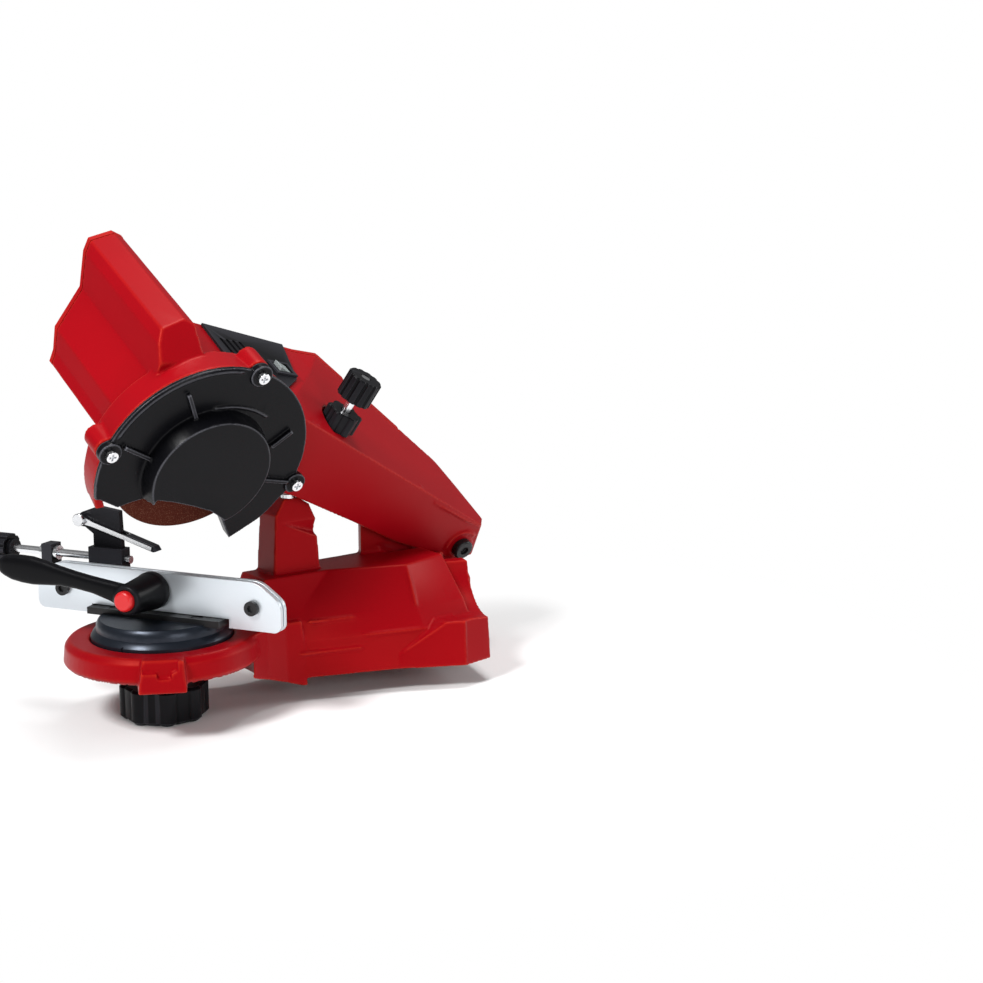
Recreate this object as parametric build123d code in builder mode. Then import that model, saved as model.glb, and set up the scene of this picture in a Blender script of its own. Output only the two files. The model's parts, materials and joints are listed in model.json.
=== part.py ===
from build123d import *
from math import atan2, cos, degrees, radians, sin
import os

# Bench-mounted electric chainsaw sharpener. Millimetres, +Z up, z = 0 is the top of the bench.
# +X runs from the operator to the hinge, -Y is the side of the grinding wheel.
# The origin is the middle of the four bench screws.

# ---------------------------------------------------------------- driving dimensions
BOLT_SPACING_X = 80.0
BOLT_SPACING_Y = 48.0
BOLT_HOLE_R = 2.5
BOLT_HOLE_DEPTH = 16.0
BOLTS_BEHIND_TABLE = 145.0

WHEEL_R = 54.0
WHEEL_BORE_R = 11.5
WHEEL_T = 3.2
HEAD_TILT = 27.4
WHEEL_X = 5.2
WHEEL_Y = -38.9
WHEEL_Z = 158.0
HINGE_X = 238.0
FOOT_LEAD = 7.0
HINGE_H = -113.0

TABLE_ANGLE = 30.0
TABLE_TOP_Z = 49.8
TABLE_TOP_R = 39.3
TABLE_RIM_R = 44.0
NOSE_R = 61.0
NOSE_TOP_Z = 37.7
NOSE_BOTTOM_Z = 20.0
DECK_Z = 63.5
DRUM_R = 66.0
DRUM_FRONT_W = 11.6
CHAMBER_R = 63.0
CHAMBER_BACK_W = -6.5
COVER_SCREWS = ((-64.5, 17.9), (23.5, 62.9), (67.4, -20.8))
REAR_SCREWS = ((-43, 14, -8), (-20, 72.5, -22), (54, -31, -8), (132, -34, -4), (185, -60, -4))
COVER_RIBS = (
    ((-22.6, 54.7), (-10.7, 29.7), 2.4), ((-56.3, 21.7), (-33.6, 9.0), 2.4),
    ((61.0, -18.5), (38.0, -13.4), 2.4), ((42.4, 10.3), (54.5, 20.7), 2.4),
)
STATOR_R = 26.0
STATOR_W = -29.0
STATOR_LEN = 25.0
MOTOR_SCREW_X = 30.0
AIR_GAP_R = 15.0
ROTOR_R = 14.5
SLOTS = 12
SHAFT_R = 4.0
BEARING_R = 11.0
REAR_BEARING_R = 7.5
COMMUTATOR_R = 8.5
COMMUTATOR_W = -58.5
SCREW_R = 3.0
SWITCH_U = 52.0
SWITCH_V = 50.0
PANEL_PLAN = ((9, 26), (42, 26), (59, 41), (74, 86.4), (13, 94.6))
PAD_X, PAD_Y, PAD_Z, PAD_R = 95.5, 3.0, 113.0, 5.0
SPRING_R = 6.6
SPRING_PITCH = 5.6
SPRING_TOP_Z = 112.0
CARRIER_Z = 48.5
CARRIER_HALF = 11.0
CARRIER_SCREW_AT = ((-30, 6.5), (-30, -6.5), (30, 6.5), (30, -6.5))
GUIDE_SCREWS = ((68, 62), (-70, 61.7))
CLAMP_AT = (-2, 67)
PAWL_AT = (-62, 105)
ROD_R = 2.5
WALL = 3.0
RUN = 0.05
GAP = 0.4

# ---------------------------------------------------------------- reference planes
TX = -BOLTS_BEHIND_TABLE
BENCH = Plane(origin=(0, 0, 0))
TABLE = Plane(origin=(TX, 0, 0))
TILT = radians(HEAD_TILT)
HEAD = Plane(origin=(TX + WHEEL_X, WHEEL_Y, WHEEL_Z), x_dir=(1, 0, 0), z_dir=(0, -cos(TILT), -sin(TILT)))
TURN = radians(TABLE_ANGLE)
ALONG = (sin(TURN), -cos(TURN), 0)
OUTWARD = (-cos(TURN), -sin(TURN), 0)
RAIL = Plane(origin=(TX, 0, 0), x_dir=ALONG, z_dir=OUTWARD)
CARRIER = Plane(origin=(TX, 0, 0), x_dir=ALONG, z_dir=(0, 0, 1))
SIDE = Plane(origin=(TX, 0, 0), x_dir=(1, 0, 0), z_dir=(0, -1, 0))

ROD = Plane(origin=(TX + 9 * cos(TURN), 9 * sin(TURN), 81), x_dir=(0, 0, 1), z_dir=ALONG)
RAIL_AXIS = Axis(RAIL.origin, RAIL.z_dir)
HEAD_AXIS = Axis(HEAD.origin, HEAD.z_dir)
HEAD_PIN = Plane(origin=HEAD.from_local_coords(Vector(HINGE_X, HINGE_H, 0)), x_dir=HEAD.x_dir,
                 z_dir=HEAD.z_dir)

os.makedirs("parts", exist_ok=True)


def save(part, label):
    part.label = label
    export_step(part, "parts/" + label + ".step")


def head_point(x, h, w):
    """A place on the grinding head, in the part's own frame."""
    return HEAD.from_local_coords(Vector(x, h, w))


def head_dir(x, h, w):
    """A direction on the grinding head, of length 1."""
    return (head_point(x, h, w) - head_point(0, 0, 0)).normalized()


def rear_point(x, h, y):
    """A plane facing away from the wheel where the column through (x, h) meets the vertical plane y."""
    w = (WHEEL_Y - 30 - h * sin(TILT)) / cos(TILT)
    place = head_point(x, h, w)
    return Plane(origin=(place.X, y, place.Z), x_dir=(1, 0, 0), z_dir=(0, 1, 0))


def sector(inner_r, outer_r, first, last):
    """A flat ring sector between two angles in degrees."""
    angles = [radians(a) for a in (first, (first + last) / 2, last)]
    inner = [(inner_r * cos(a), inner_r * sin(a)) for a in angles]
    outer = [(outer_r * cos(a), outer_r * sin(a)) for a in reversed(angles)]
    with BuildSketch(Plane.XY) as face:
        with BuildLine():
            ThreePointArc(*inner)
            Line(inner[2], outer[0])
            ThreePointArc(*outer)
            Line(outer[2], inner[0])
        make_face()
    return face.sketch


def half_space(corner, normal):
    """The plane through corner whose positive side is cut away by keeping Keep.BOTTOM."""
    return Plane(origin=corner, z_dir=normal)


def ring(plane, outer_r, inner_r, thick, mode=Mode.ADD):
    with BuildSketch(plane) as face:
        Circle(outer_r)
        Circle(inner_r, mode=Mode.SUBTRACT)
    extrude(face.sketch, amount=thick, mode=mode)


def disc(plane, r, thick, mode=Mode.ADD):
    with BuildSketch(plane) as face:
        Circle(r)
    extrude(face.sketch, amount=thick, mode=mode)


def prism(points, w_near, w_far, mode=Mode.ADD):
    with BuildSketch(HEAD.offset(w_near)) as face:
        with BuildLine():
            Polyline(*points, close=True)
        make_face()
    extrude(face.sketch, amount=w_far - w_near, mode=mode)


# ================================================================ base
# Near edge (-Y) and far edge (+Y) of the body at four heights: x, near y, far y.
BODY_LEVELS = (
    (0.0, ((58, -25, 25), (84, -29, 29), (166, -56, 56), (206, -56, 56))),
    (24.0, ((58, -23, 23), (84, -27, 28), (166, -50, 52), (206, -50, 52))),
    (37.0, ((60, -19, 22), (84, -23, 27), (166, -41, 46), (206, -41, 46))),
    (DECK_Z, ((70, -8, 22), (118, -8, 22), (168, -27, 24), (206, -15, 24))),
)


def body_outline(level, inset):
    rows = level[1]
    first, last = rows[0][0], rows[-1][0]
    near = [(min(max(x, first + inset), last - inset), y + inset) for x, y, _ in rows]
    far = [(min(max(x, first + inset), last - inset), y - inset) for x, _, y in reversed(rows)]
    return near + far


def body_block(inset, top_drop):
    """The body between deck and bench: ruled walls between its levels, inset by the wall thickness."""
    for low, high in zip(BODY_LEVELS, BODY_LEVELS[1:]):
        drop = top_drop if high is BODY_LEVELS[-1] else 0
        with BuildSketch(TABLE.offset(low[0])) as lower:
            with BuildLine():
                Polyline(*body_outline(low, inset), close=True)
            make_face()
        with BuildSketch(TABLE.offset(high[0] - drop)) as upper:
            with BuildLine():
                Polyline(*body_outline(high, inset), close=True)
            make_face()
        loft([lower.sketch, upper.sketch], ruled=True)


def foot_corner(side, inset):
    """The plane of the near side of one foot, flush with the wall of the body."""
    face = Vector(-0.451, side * 0.878, 0.163)
    return Plane(origin=Vector(TX + 185.7, side * 69.8, 0) - face * inset, z_dir=face)


def foot_band(side, inset):
    """A band that sweeps down in a hollow curve from the hinge tower to one foot."""
    out = (-0.292, side * 0.956, 0)
    across = (0.956, side * 0.292, 0)
    start = inset - FOOT_LEAD
    origin = (TX + 203.2 + across[0] * start, side * 12.4 + across[1] * start, 0)
    band = Plane(origin=origin, x_dir=out, z_dir=across)
    up = band.y_dir.Z
    with BuildPart() as foot:
        with BuildSketch(band) as profile:
            with BuildLine():
                l1 = Line((-8, 0), (74, 0))
                l2 = Line(l1 @ 1, (74, up * (28 - inset)))
                l3 = Line(l2 @ 1, (50 - inset, up * (29.5 - inset)))
                l4 = ThreePointArc(l3 @ 1, (13 - inset * 0.7, up * (37.5 - inset)),
                                   (2 - inset, up * (57.5 - inset)))
                l5 = Line(l4 @ 1, (-8, up * (57.5 - inset)))
                Line(l5 @ 1, l1 @ 0)
            make_face()
        extrude(profile.sketch, amount=22 + FOOT_LEAD - 2 * inset)
        face = Vector(0.188, side * 0.97, 0.148)
        split(bisect_by=Plane(origin=Vector(TX + 185.7, side * 69.8, 0) - face * inset, z_dir=face),
              keep=Keep.BOTTOM)
        split(bisect_by=foot_corner(side, inset), keep=Keep.BOTTOM)
    return foot.part


def foot_wedge(side, inset):
    """The web that joins one foot to the lower wall of the body, with a top that slopes down to it."""
    with BuildPart() as web:
        with BuildSketch(TABLE) as plan:
            with BuildLine():
                Polyline((148, side * 36), (148, side * 60), (184, side * 74), (192 - inset, side * 60),
                         (192 - inset, side * 36), close=True)
            make_face()
        extrude(plan.sketch, amount=29 - inset)
        split(bisect_by=foot_corner(side, inset), keep=Keep.BOTTOM)
        slope = Vector(-0.557, side * 0.048, 0.829)
        split(bisect_by=Plane(origin=Vector(TX + 166.5, side * 55.9, 21.8) - slope * inset, z_dir=slope),
              keep=Keep.BOTTOM)
    return web.part


REAR_PLAN = ((200, -16), (232, -13), (240, 0), (250, 24), (250, 44), (200, 44))
HINGE_PIN_R = 4.0
HINGE_BUSH_R = 5.5
STUD_R = 5.0
BOSS_TURN = 27.0
BOSS_REACH = 64.0
SPRING_SEAT = (TX + 190, 19, 84)
WALL_SWING = ((206, -60), (160, -60), (160, -100.6), (175, -109.4))
EAR_SWING = ((206, -118.4), (217, -121), (236, -129.5), (256, -128), (268, -114), (268, -60), (206, -60))
LUG_NEAR_W = -7.0
LUG_FAR_W = -17.0

with BuildPart() as base_cavity:
    body_block(WALL, WALL)
    for side in (-1, 1):
        add(foot_band(side, WALL))
        add(foot_wedge(side, WALL))
    with BuildSketch(TABLE) as rear_hollow:
        with BuildLine():
            Polyline(*REAR_PLAN, close=True)
        make_face()
        offset(amount=-WALL, kind=Kind.INTERSECTION, mode=Mode.REPLACE)
    extrude(rear_hollow.sketch, amount=43 - WALL)
    with BuildSketch(TABLE) as nose_hollow:
        Circle(NOSE_R - WALL)
        Circle(20, mode=Mode.SUBTRACT)
    extrude(nose_hollow.sketch, amount=NOSE_TOP_Z - 4)

with BuildPart() as base:
    body_block(0, 0)
    for side in (-1, 1):
        add(foot_band(side, 0))
        add(foot_wedge(side, 0))
    with BuildSketch(TABLE) as rear_plan:
        with BuildLine():
            Polyline(*REAR_PLAN, close=True)
        make_face()
    extrude(rear_plan.sketch, amount=43)
    # the neck dips to a lip that stops against the edge of the bench
    with BuildSketch(TABLE.offset(-5)) as neck_plan:
        with BuildLine():
            Polyline((20, -50), (38, -44), (58, -33), (74, -29), (88, -30), (88, 30), (74, 29), (58, 33),
                     (38, 44), (20, 50), close=True)
        make_face()
    extrude(neck_plan.sketch, amount=NOSE_TOP_Z + 5, taper=3)
    split(bisect_by=half_space((TX + 14, 0, NOSE_BOTTOM_Z), (-24, 0, -68)), keep=Keep.BOTTOM)
    with BuildSketch(SIDE) as nose_profile:
        with BuildLine():
            Polyline((0, NOSE_BOTTOM_Z), (57, NOSE_BOTTOM_Z), (NOSE_R, NOSE_BOTTOM_Z + 4), (NOSE_R - 1, 34),
                     (NOSE_R - 4, NOSE_TOP_Z), (0, NOSE_TOP_Z), close=True)
        make_face()
    revolve(nose_profile.sketch, axis=Axis((TX, 0, 0), (0, 0, 1)))
    # post under the arm, with the stop of the depth screw on its top
    with BuildSketch(TABLE.offset(40)) as post_low:
        with BuildLine():
            Polyline((80, -2), (118, -2), (118, 22), (80, 22), close=True)
        make_face()
    with BuildSketch(TABLE.offset(113)) as post_high:
        with BuildLine():
            Polyline((84, -1), (113, -1), (113, 20), (84, 20), close=True)
        make_face()
    loft([post_low.sketch, post_high.sketch], ruled=True)
    with BuildSketch(SIDE.offset(-30)) as post_corners:
        with BuildLine():
            Polyline((80, 103), (84, 103), (90, 113.1), (80, 113.1), close=True)
        make_face()
        with BuildLine():
            Polyline((101, 113.1), (109, 108), (113.5, 98), (120, 98), (120, 113.1), close=True)
        make_face()
    extrude(post_corners.sketch, amount=40, mode=Mode.SUBTRACT)
    # chamfer on the post that lets the near wall of the arm come down in front of it
    prism(((80, -50), (125, -50), (125, -87.6), (80, -70.6)), 12, -5.7, Mode.SUBTRACT)
    # spring block inside the hollow of the arm
    with BuildSketch(TABLE.offset(40)) as block_plan:
        with BuildLine():
            Polyline((160, 16), (176, 14), (205, 18), (205, 24), (163, 24), close=True)
        make_face()
    extrude(block_plan.sketch, amount=44)
    disc(Plane(origin=SPRING_SEAT), 5, 5)
    add(base_cavity.part, mode=Mode.SUBTRACT)
    # ribs and bosses for the bench screws
    with BuildSketch(BENCH) as ribs:
        with Locations((-BOLT_SPACING_X / 2, 0)):
            Rectangle(WALL, 2 * 31)
        with Locations((BOLT_SPACING_X / 2, 0)):
            Rectangle(WALL, 2 * 51)
        with Locations((0, -BOLT_SPACING_Y / 2), (0, BOLT_SPACING_Y / 2)):
            Rectangle(BOLT_SPACING_X, WALL)
    extrude(ribs.sketch, amount=22)
    with BuildSketch(BENCH) as boss_plan:
        with GridLocations(BOLT_SPACING_X, BOLT_SPACING_Y, 2, 2):
            Circle(7)
    extrude(boss_plan.sketch, amount=26)
    with BuildSketch(BENCH) as screw_holes:
        with GridLocations(BOLT_SPACING_X, BOLT_SPACING_Y, 2, 2):
            Circle(BOLT_HOLE_R)
    extrude(screw_holes.sketch, amount=BOLT_HOLE_DEPTH, mode=Mode.SUBTRACT)
    # hinge lug, bored for its bushes
    with BuildSketch(HEAD.offset(LUG_FAR_W)) as lug:
        with Locations((HINGE_X, HINGE_H)):
            Circle(10.5)
        with BuildLine():
            Polyline((HINGE_X - 10, HINGE_H), (HINGE_X + 9, HINGE_H), (HINGE_X + 8, HINGE_H - 37),
                     (HINGE_X - 22, HINGE_H - 37), close=True)
        make_face()
    extrude(lug.sketch, amount=LUG_NEAR_W - LUG_FAR_W)
    # bridge under the ears of the head, with room for them to swing
    with BuildSketch(HEAD.offset(-20)) as bridge:
        with BuildLine():
            Polyline((203, -117.5), (217, -121), (236, -130), (244, -130), (244, -138), (203, -138),
                     close=True)
        make_face()
    extrude(bridge.sketch, amount=19)
    for far_w, thick in ((-6.8, 5.8), (-30, 12.8)):
        with BuildSketch(HEAD.offset(far_w)) as swing:
            with BuildLine():
                Polyline(*(EAR_SWING if thick > 10 else WALL_SWING + EAR_SWING), close=True)
            make_face()
        extrude(swing.sketch, amount=thick, mode=Mode.SUBTRACT)
    with BuildSketch(HEAD.offset(LUG_FAR_W - 2)) as lug_bore:
        with Locations((HINGE_X, HINGE_H)):
            Circle(HINGE_BUSH_R)
    extrude(lug_bore.sketch, amount=LUG_NEAR_W - LUG_FAR_W + 4, mode=Mode.SUBTRACT)
    # boss on the front of the nose, notched for reading the angle scale
    boss_dir = radians(BOSS_TURN)
    boss_plane = Plane(origin=(TX, 0, 0), x_dir=(cos(boss_dir), -sin(boss_dir), 0),
                       z_dir=(-sin(boss_dir), -cos(boss_dir), 0))
    with BuildSketch(boss_plane.offset(NOSE_R - 12)) as boss_face:
        with BuildLine():
            Polyline((-15.5, 17), (14.5, 17), (13, NOSE_TOP_Z + 0.5), (-12.5, NOSE_TOP_Z + 0.5), close=True)
        make_face()
    extrude(boss_face.sketch, amount=BOSS_REACH - NOSE_R + 12, taper=2)
    with BuildSketch(boss_plane.offset(NOSE_R + 0.5)) as notch:
        with BuildLine():
            Polyline((-12.5, NOSE_TOP_Z + 2), (-12.5, 30), (-3.5, 30), (-3.5, 26.5), (5, 26.5), (5, 30),
                     (9, 31.5), (9, NOSE_TOP_Z + 2), close=True)
        make_face()
    extrude(notch.sketch, amount=8, mode=Mode.SUBTRACT)
    # seat and bore of the turntable
    with BuildSketch(TABLE.offset(NOSE_TOP_Z - 3)) as seat:
        Circle(TABLE_RIM_R + GAP)
    extrude(seat.sketch, amount=6, mode=Mode.SUBTRACT)
    with BuildSketch(TABLE.offset(NOSE_BOTTOM_Z - 5)) as stud_bore:
        Circle(STUD_R + 0.3)
    extrude(stud_bore.sketch, amount=25, mode=Mode.SUBTRACT)

save(base.part, "base_housing")

# small steel pad on the post, where the tip of the depth screw lands
with BuildPart() as stop_pad:
    disc(Plane(origin=(TX + PAD_X, PAD_Y, PAD_Z)), PAD_R, 3)
save(stop_pad.part, "depth_stop_pad")

# two bushes in the hinge lug
with BuildPart() as bushes:
    ring(HEAD_PIN.offset(LUG_FAR_W + 0.1), HINGE_BUSH_R, HINGE_PIN_R + RUN, 4.7)
    ring(HEAD_PIN.offset(LUG_NEAR_W - 4.8), HINGE_BUSH_R, HINGE_PIN_R + RUN, 4.7)
save(bushes.part, "hinge_bushes")

# spring that lifts the head, standing on the rear block
with BuildPart() as spring:
    with BuildLine() as coil:
        Helix(pitch=SPRING_PITCH, height=SPRING_TOP_Z - SPRING_SEAT[2] - 2.2, radius=SPRING_R)
    with BuildSketch(Plane(origin=coil.line @ 0, z_dir=coil.line % 0)):
        Circle(0.8)
    sweep(path=coil.line)
save(spring.part.moved(Location((SPRING_SEAT[0], SPRING_SEAT[1], SPRING_SEAT[2] + 0.9))), "return_spring")


# ================================================================ grinding head
SCREW_DIR = head_dir(0.324, 0.946, 0)
SCREW = Plane(origin=head_point(115.6, -0.1, -18), x_dir=HEAD.z_dir, z_dir=SCREW_DIR)
SCREW_SEAT = SCREW.offset(-7)
SCREW_AXIS = Axis(SCREW.origin, SCREW.z_dir)
PANEL = Plane(origin=head_point(33.3, 31.1, 0), x_dir=head_dir(0.967, -0.2557, 0),
              z_dir=head_dir(0.2557, 0.967, 0))
MOTOR_OUTLINE = (
    (-2, -35), (-14, -31.5), (-36, -7), (-57.5, 13.5), (-54.7, 19.7), (-53, 32), (-35.7, 52.8), (-32.4, 72),
    (-28.8, 78.7), (-13.4, 82.2), (-6.9, 79.4), (0, 39.5), (33.3, 31.1), (60, 23.8), (60, -37),
)
ARM_OUTLINE = (
    (60, 23.8), (113.6, 9.6), (131.4, 6.2), (151, -6.5), (153.3, -11.5), (175, -27), (200.4, -39.4),
    (204.1, -42.5), (214.7, -54.2), (228.7, -67.6), (242.9, -81.9), (258.5, -98.2), (266, -107), (266, -114),
    (256, -122), (244.6, -126.3), (231.6, -122.3), (215.5, -115.8), (203.7, -111), (176.1, -98.5),
    (138, -76.5), (83.7, -47), (60, -37),
)
FIN_SLOPE = head_dir(0, 1, 1)
ARM_FACET = head_dir(0.532, 0.847, 0.28)
ARM_END = head_dir(0.788, 0, 0.615)


def shrink(points, inset):
    """A clockwise outline with every side moved inwards."""
    moved = []
    for i, here in enumerate(points):
        before, after = points[i - 1], points[(i + 1) % len(points)]
        a = Vector(here[0] - before[0], here[1] - before[1]).normalized()
        b = Vector(after[0] - here[0], after[1] - here[1]).normalized()
        middle = Vector(a.Y + b.Y, -a.X - b.X).normalized()
        reach = inset / (middle.X * a.Y - middle.Y * a.X)
        moved.append((here[0] + middle.X * reach, here[1] + middle.Y * reach))
    return moved


def outline_block(points, inset, extra):
    """An outline of the head carried back along the wheel axis; extra widens it at its seam, x = 60."""
    widened = [(x + extra, h) if x == 60 else (x, h) for x, h in points]
    with BuildSketch(HEAD.offset(-2 - inset)) as face:
        with BuildLine():
            Polyline(*shrink(widened, inset), close=True)
        make_face()
    extrude(face.sketch, amount=-130)


def head_block(inset):
    """The body of the head, or with an inset the hollow inside it."""
    with BuildPart() as motor_end:
        outline_block(MOTOR_OUTLINE, inset, 2 * inset)
        split(bisect_by=half_space(head_point(0, 62, 0) - FIN_SLOPE * inset, FIN_SLOPE), keep=Keep.BOTTOM)
    with BuildPart() as arm_end:
        outline_block(ARM_OUTLINE, inset, -2 * inset)
        split(bisect_by=half_space(head_point(92, 4, -2) - ARM_FACET * inset, ARM_FACET), keep=Keep.BOTTOM)
        split(bisect_by=half_space(head_point(252, -100, -2) - ARM_END * inset, ARM_END), keep=Keep.BOTTOM)
    return motor_end.part + arm_end.part


def slab(y_near, y_far, x_far=300):
    """A block of space between two vertical planes, from the operator's end as far as x_far."""
    with BuildSketch(Plane(origin=(TX, y_near, 0), x_dir=(1, 0, 0), z_dir=(0, -1, 0))) as face:
        with BuildLine():
            Polyline((-120, -20), (x_far, -20), (x_far, 320), (-120, 320), close=True)
        make_face()
    extrude(face.sketch, amount=y_near - y_far)


def column(x, h, r, w_near, w_far, mode=Mode.ADD):
    with BuildSketch(HEAD.offset(w_near)) as face:
        with Locations((x, h)):
            Circle(r)
    extrude(face.sketch, amount=w_far - w_near, mode=mode)


with BuildPart() as head_cavity:
    add(head_block(WALL))
    prism(((80, -50), (80, -43.5), (91, -43.5), (138, -70), (176, -92), (214, -109), (222, -109), (222, -140),
           (80, -140)), -5, -130)
    disc(HEAD.offset(-9), DRUM_R, 20, Mode.SUBTRACT)

with BuildPart() as hinge_wall:
    slab(30, 60)
    with BuildSketch(Plane(origin=(TX + 203, 0, 0), x_dir=(0, 1, 0), z_dir=(-1, 0, 0))) as front:
        Rectangle(400, 800)
    extrude(front.sketch, amount=400, mode=Mode.SUBTRACT)

with BuildPart() as head_solid:
    add(head_block(0))
    with BuildSketch(HEAD.offset(-9)) as drum_back:
        Circle(DRUM_R)
    with BuildSketch(HEAD.offset(DRUM_FRONT_W)) as drum_front:
        Circle(DRUM_R + 2.6)
    loft([drum_back.sketch, drum_front.sketch], ruled=True)
    for x, h in COVER_SCREWS:
        column(x, h, 7.2, DRUM_FRONT_W, -5)

with BuildPart() as head:
    add(head_solid.part)
    # wheel chamber with its open underside
    disc(HEAD.offset(CHAMBER_BACK_W), CHAMBER_R, 40, Mode.SUBTRACT)
    prism(((-80, -28), (-46, -28), (-38, -37), (60, -37), (60, -80), (-80, -80)), -9.5, 20, Mode.SUBTRACT)
    prism(((-80, -27.5), (-54.4, -23.7), (-36, -20), (9, -38), (50, -32), (57, -25), (60, -25), (60, -80),
           (-80, -80)), CHAMBER_BACK_W, 20, Mode.SUBTRACT)
    # hollow, with a closed far wall only around the hinge
    with BuildPart(mode=Mode.PRIVATE) as hollow:
        add(head_cavity.part)
        add(hinge_wall.part, mode=Mode.SUBTRACT)
    add(hollow.part, mode=Mode.SUBTRACT)
    # ears of the hinge, with room for the lug of the base between them
    column(HINGE_X, HINGE_H, 10, -1, -6)
    column(HINGE_X, HINGE_H, 13, -6.5, -17.4, Mode.SUBTRACT)
    prism(((HINGE_X - 13, HINGE_H + 2), (HINGE_X + 13, HINGE_H), (HINGE_X + 30, HINGE_H - 40),
           (HINGE_X - 60, HINGE_H - 40)), -6.5, -17.4, Mode.SUBTRACT)
    # columns for the screws of the rear cover, one carrying the head of the spring
    for x, h, w_near in REAR_SCREWS:
        column(x, h, 6, w_near, -130)
    with BuildPart(mode=Mode.PRIVATE) as spring_head:
        disc(Plane(origin=(SPRING_SEAT[0], SPRING_SEAT[1], SPRING_TOP_Z)), 9.5, 60)
        add(head_solid.part, mode=Mode.INTERSECT)
    add(spring_head.part)
    # seat of the front bearing and columns for the motor screws
    column(0, 0, 14.5, -8, -18)
    column(0, 0, BEARING_R + 0.02, -9.4, -19, Mode.SUBTRACT)
    column(0, 0, 8, -6, -12, Mode.SUBTRACT)
    for x in (-MOTOR_SCREW_X, MOTOR_SCREW_X):
        column(x, 0, 4.5, -8, STATOR_W + 0.2)
        column(x, 0, 1.7, -16, STATOR_W - 1, Mode.SUBTRACT)
    # seat and boss of the depth screw
    disc(SCREW_SEAT.offset(-0.05), 13.6, 30, Mode.SUBTRACT)
    disc(SCREW_SEAT.offset(-13), 8.5, 12.95)
    disc(SCREW_SEAT.offset(-14), 5.02, 15, Mode.SUBTRACT)
    # openings for the grille and the switch
    with BuildSketch(PANEL.offset(-8)) as openings:
        with BuildLine():
            Polyline((14, 29), (38, 29), (38, 70), (18, 84), close=True)
        make_face()
        with Locations((SWITCH_U, SWITCH_V)):
            Rectangle(13.4, 12.4)
    extrude(openings.sketch, amount=12, mode=Mode.SUBTRACT)
    # tapped holes for the screws of the wheel cover
    for x, h in COVER_SCREWS:
        column(x, h, 1.7, DRUM_FRONT_W + 1, 1, Mode.SUBTRACT)
    # cut away beyond the joint with the rear cover, and tapped there
    with BuildPart(mode=Mode.PRIVATE) as beyond:
        slab(30, 250, 203)
        slab(33, 250)
    add(beyond.part, mode=Mode.SUBTRACT)
    for x, h, w_near in REAR_SCREWS:
        disc(rear_point(x, h, 22), 1.3, 9, Mode.SUBTRACT)
    prism(((HINGE_X - 10, HINGE_H), (HINGE_X + 10, HINGE_H), (HINGE_X + 14, HINGE_H + 16),
           (HINGE_X - 14, HINGE_H + 22)), -17.4, -26)
    column(HINGE_X, HINGE_H, 10, -17.4, -26)
    column(HINGE_X, HINGE_H, HINGE_PIN_R + 0.02, 2, -30, Mode.SUBTRACT)
save(head.part, "head_housing")

# ---------------------------------------------------------------- rear cover
with BuildPart() as rear_cover:
    add(head_solid.part)
    with BuildPart(mode=Mode.PRIVATE) as cover_slab:
        slab(30.05, 33, 202.7)
    add(cover_slab.part, mode=Mode.INTERSECT)
    # bearing seat on the inside
    with BuildPart(mode=Mode.PRIVATE) as rear_seat:
        column(0, 0, 11, -66.8, -95)
        with BuildPart(mode=Mode.PRIVATE) as outside:
            slab(33, 90)
        add(outside.part, mode=Mode.SUBTRACT)
    add(rear_seat.part)
    column(0, 0, REAR_BEARING_R + 0.02, -66, -73.3, Mode.SUBTRACT)
    for x, h, w_near in REAR_SCREWS:
        disc(rear_point(x, h, 29), 1.7, 6, Mode.SUBTRACT)
        disc(rear_point(x, h, 31.6), 3.2, 6, Mode.SUBTRACT)
save(rear_cover.part, "rear_cover")

with BuildPart() as rear_screws:
    for x, h, w_near in REAR_SCREWS:
        disc(rear_point(x, h, 23), 1.25, 9)
        disc(rear_point(x, h, 31.7), 2.9, 1.9)
save(rear_screws.part, "rear_cover_screws")

# ---------------------------------------------------------------- wheel cover
COVER_EDGE = (
    (-90, -12), (-64, -16), (-51.7, -23.2), (-44.1, -20.7), (-36, -19), (-33.8, -12), (-22.5, -15.1),
    (-9.2, -19.9), (4.5, -25.7), (14, -33), (20, -40), (30.4, -59), (48, -47), (53.7, -41), (59.7, -31.8),
    (66, -27), (90, -27), (90, 90), (-90, 90),
)
with BuildPart() as wheel_cover:
    disc(HEAD.offset(DRUM_FRONT_W + 0.4), DRUM_R + 3, 2.8)
    prism(((5, -20), (5, -60), (59.6, -60), (59.6, -31), (52, -27)), 6, DRUM_FRONT_W + 3.2)
    with BuildSketch(HEAD.offset(14)) as dome_foot:
        Circle(41)
    with BuildSketch(HEAD.offset(26.5)) as dome_top:
        Circle(38.3)
    loft([dome_foot.sketch, dome_top.sketch], ruled=True)
    for first, last, wide in COVER_RIBS:
        run = Vector(last[0] - first[0], last[1] - first[1])
        turn = atan2(run.Y, run.X)
        with BuildSketch(HEAD.offset(14)) as rib:
            with Locations(Location(((first[0] + last[0]) / 2, (first[1] + last[1]) / 2, 0), degrees(turn))):
                Rectangle(run.length, wide)
        extrude(rib.sketch, amount=4)
    for x, h in COVER_SCREWS:
        column(x, h, 7, 17, DRUM_FRONT_W + 0.4)
    disc(HEAD.offset(0), 35.6, 24, Mode.SUBTRACT)
    with BuildPart(mode=Mode.PRIVATE) as kept:
        prism(COVER_EDGE, 0, 40)
    add(kept.part, mode=Mode.INTERSECT)
    for x, h in COVER_SCREWS:
        column(x, h, 2.2, 5, 30, Mode.SUBTRACT)
save(wheel_cover.part, "wheel_cover")

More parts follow.
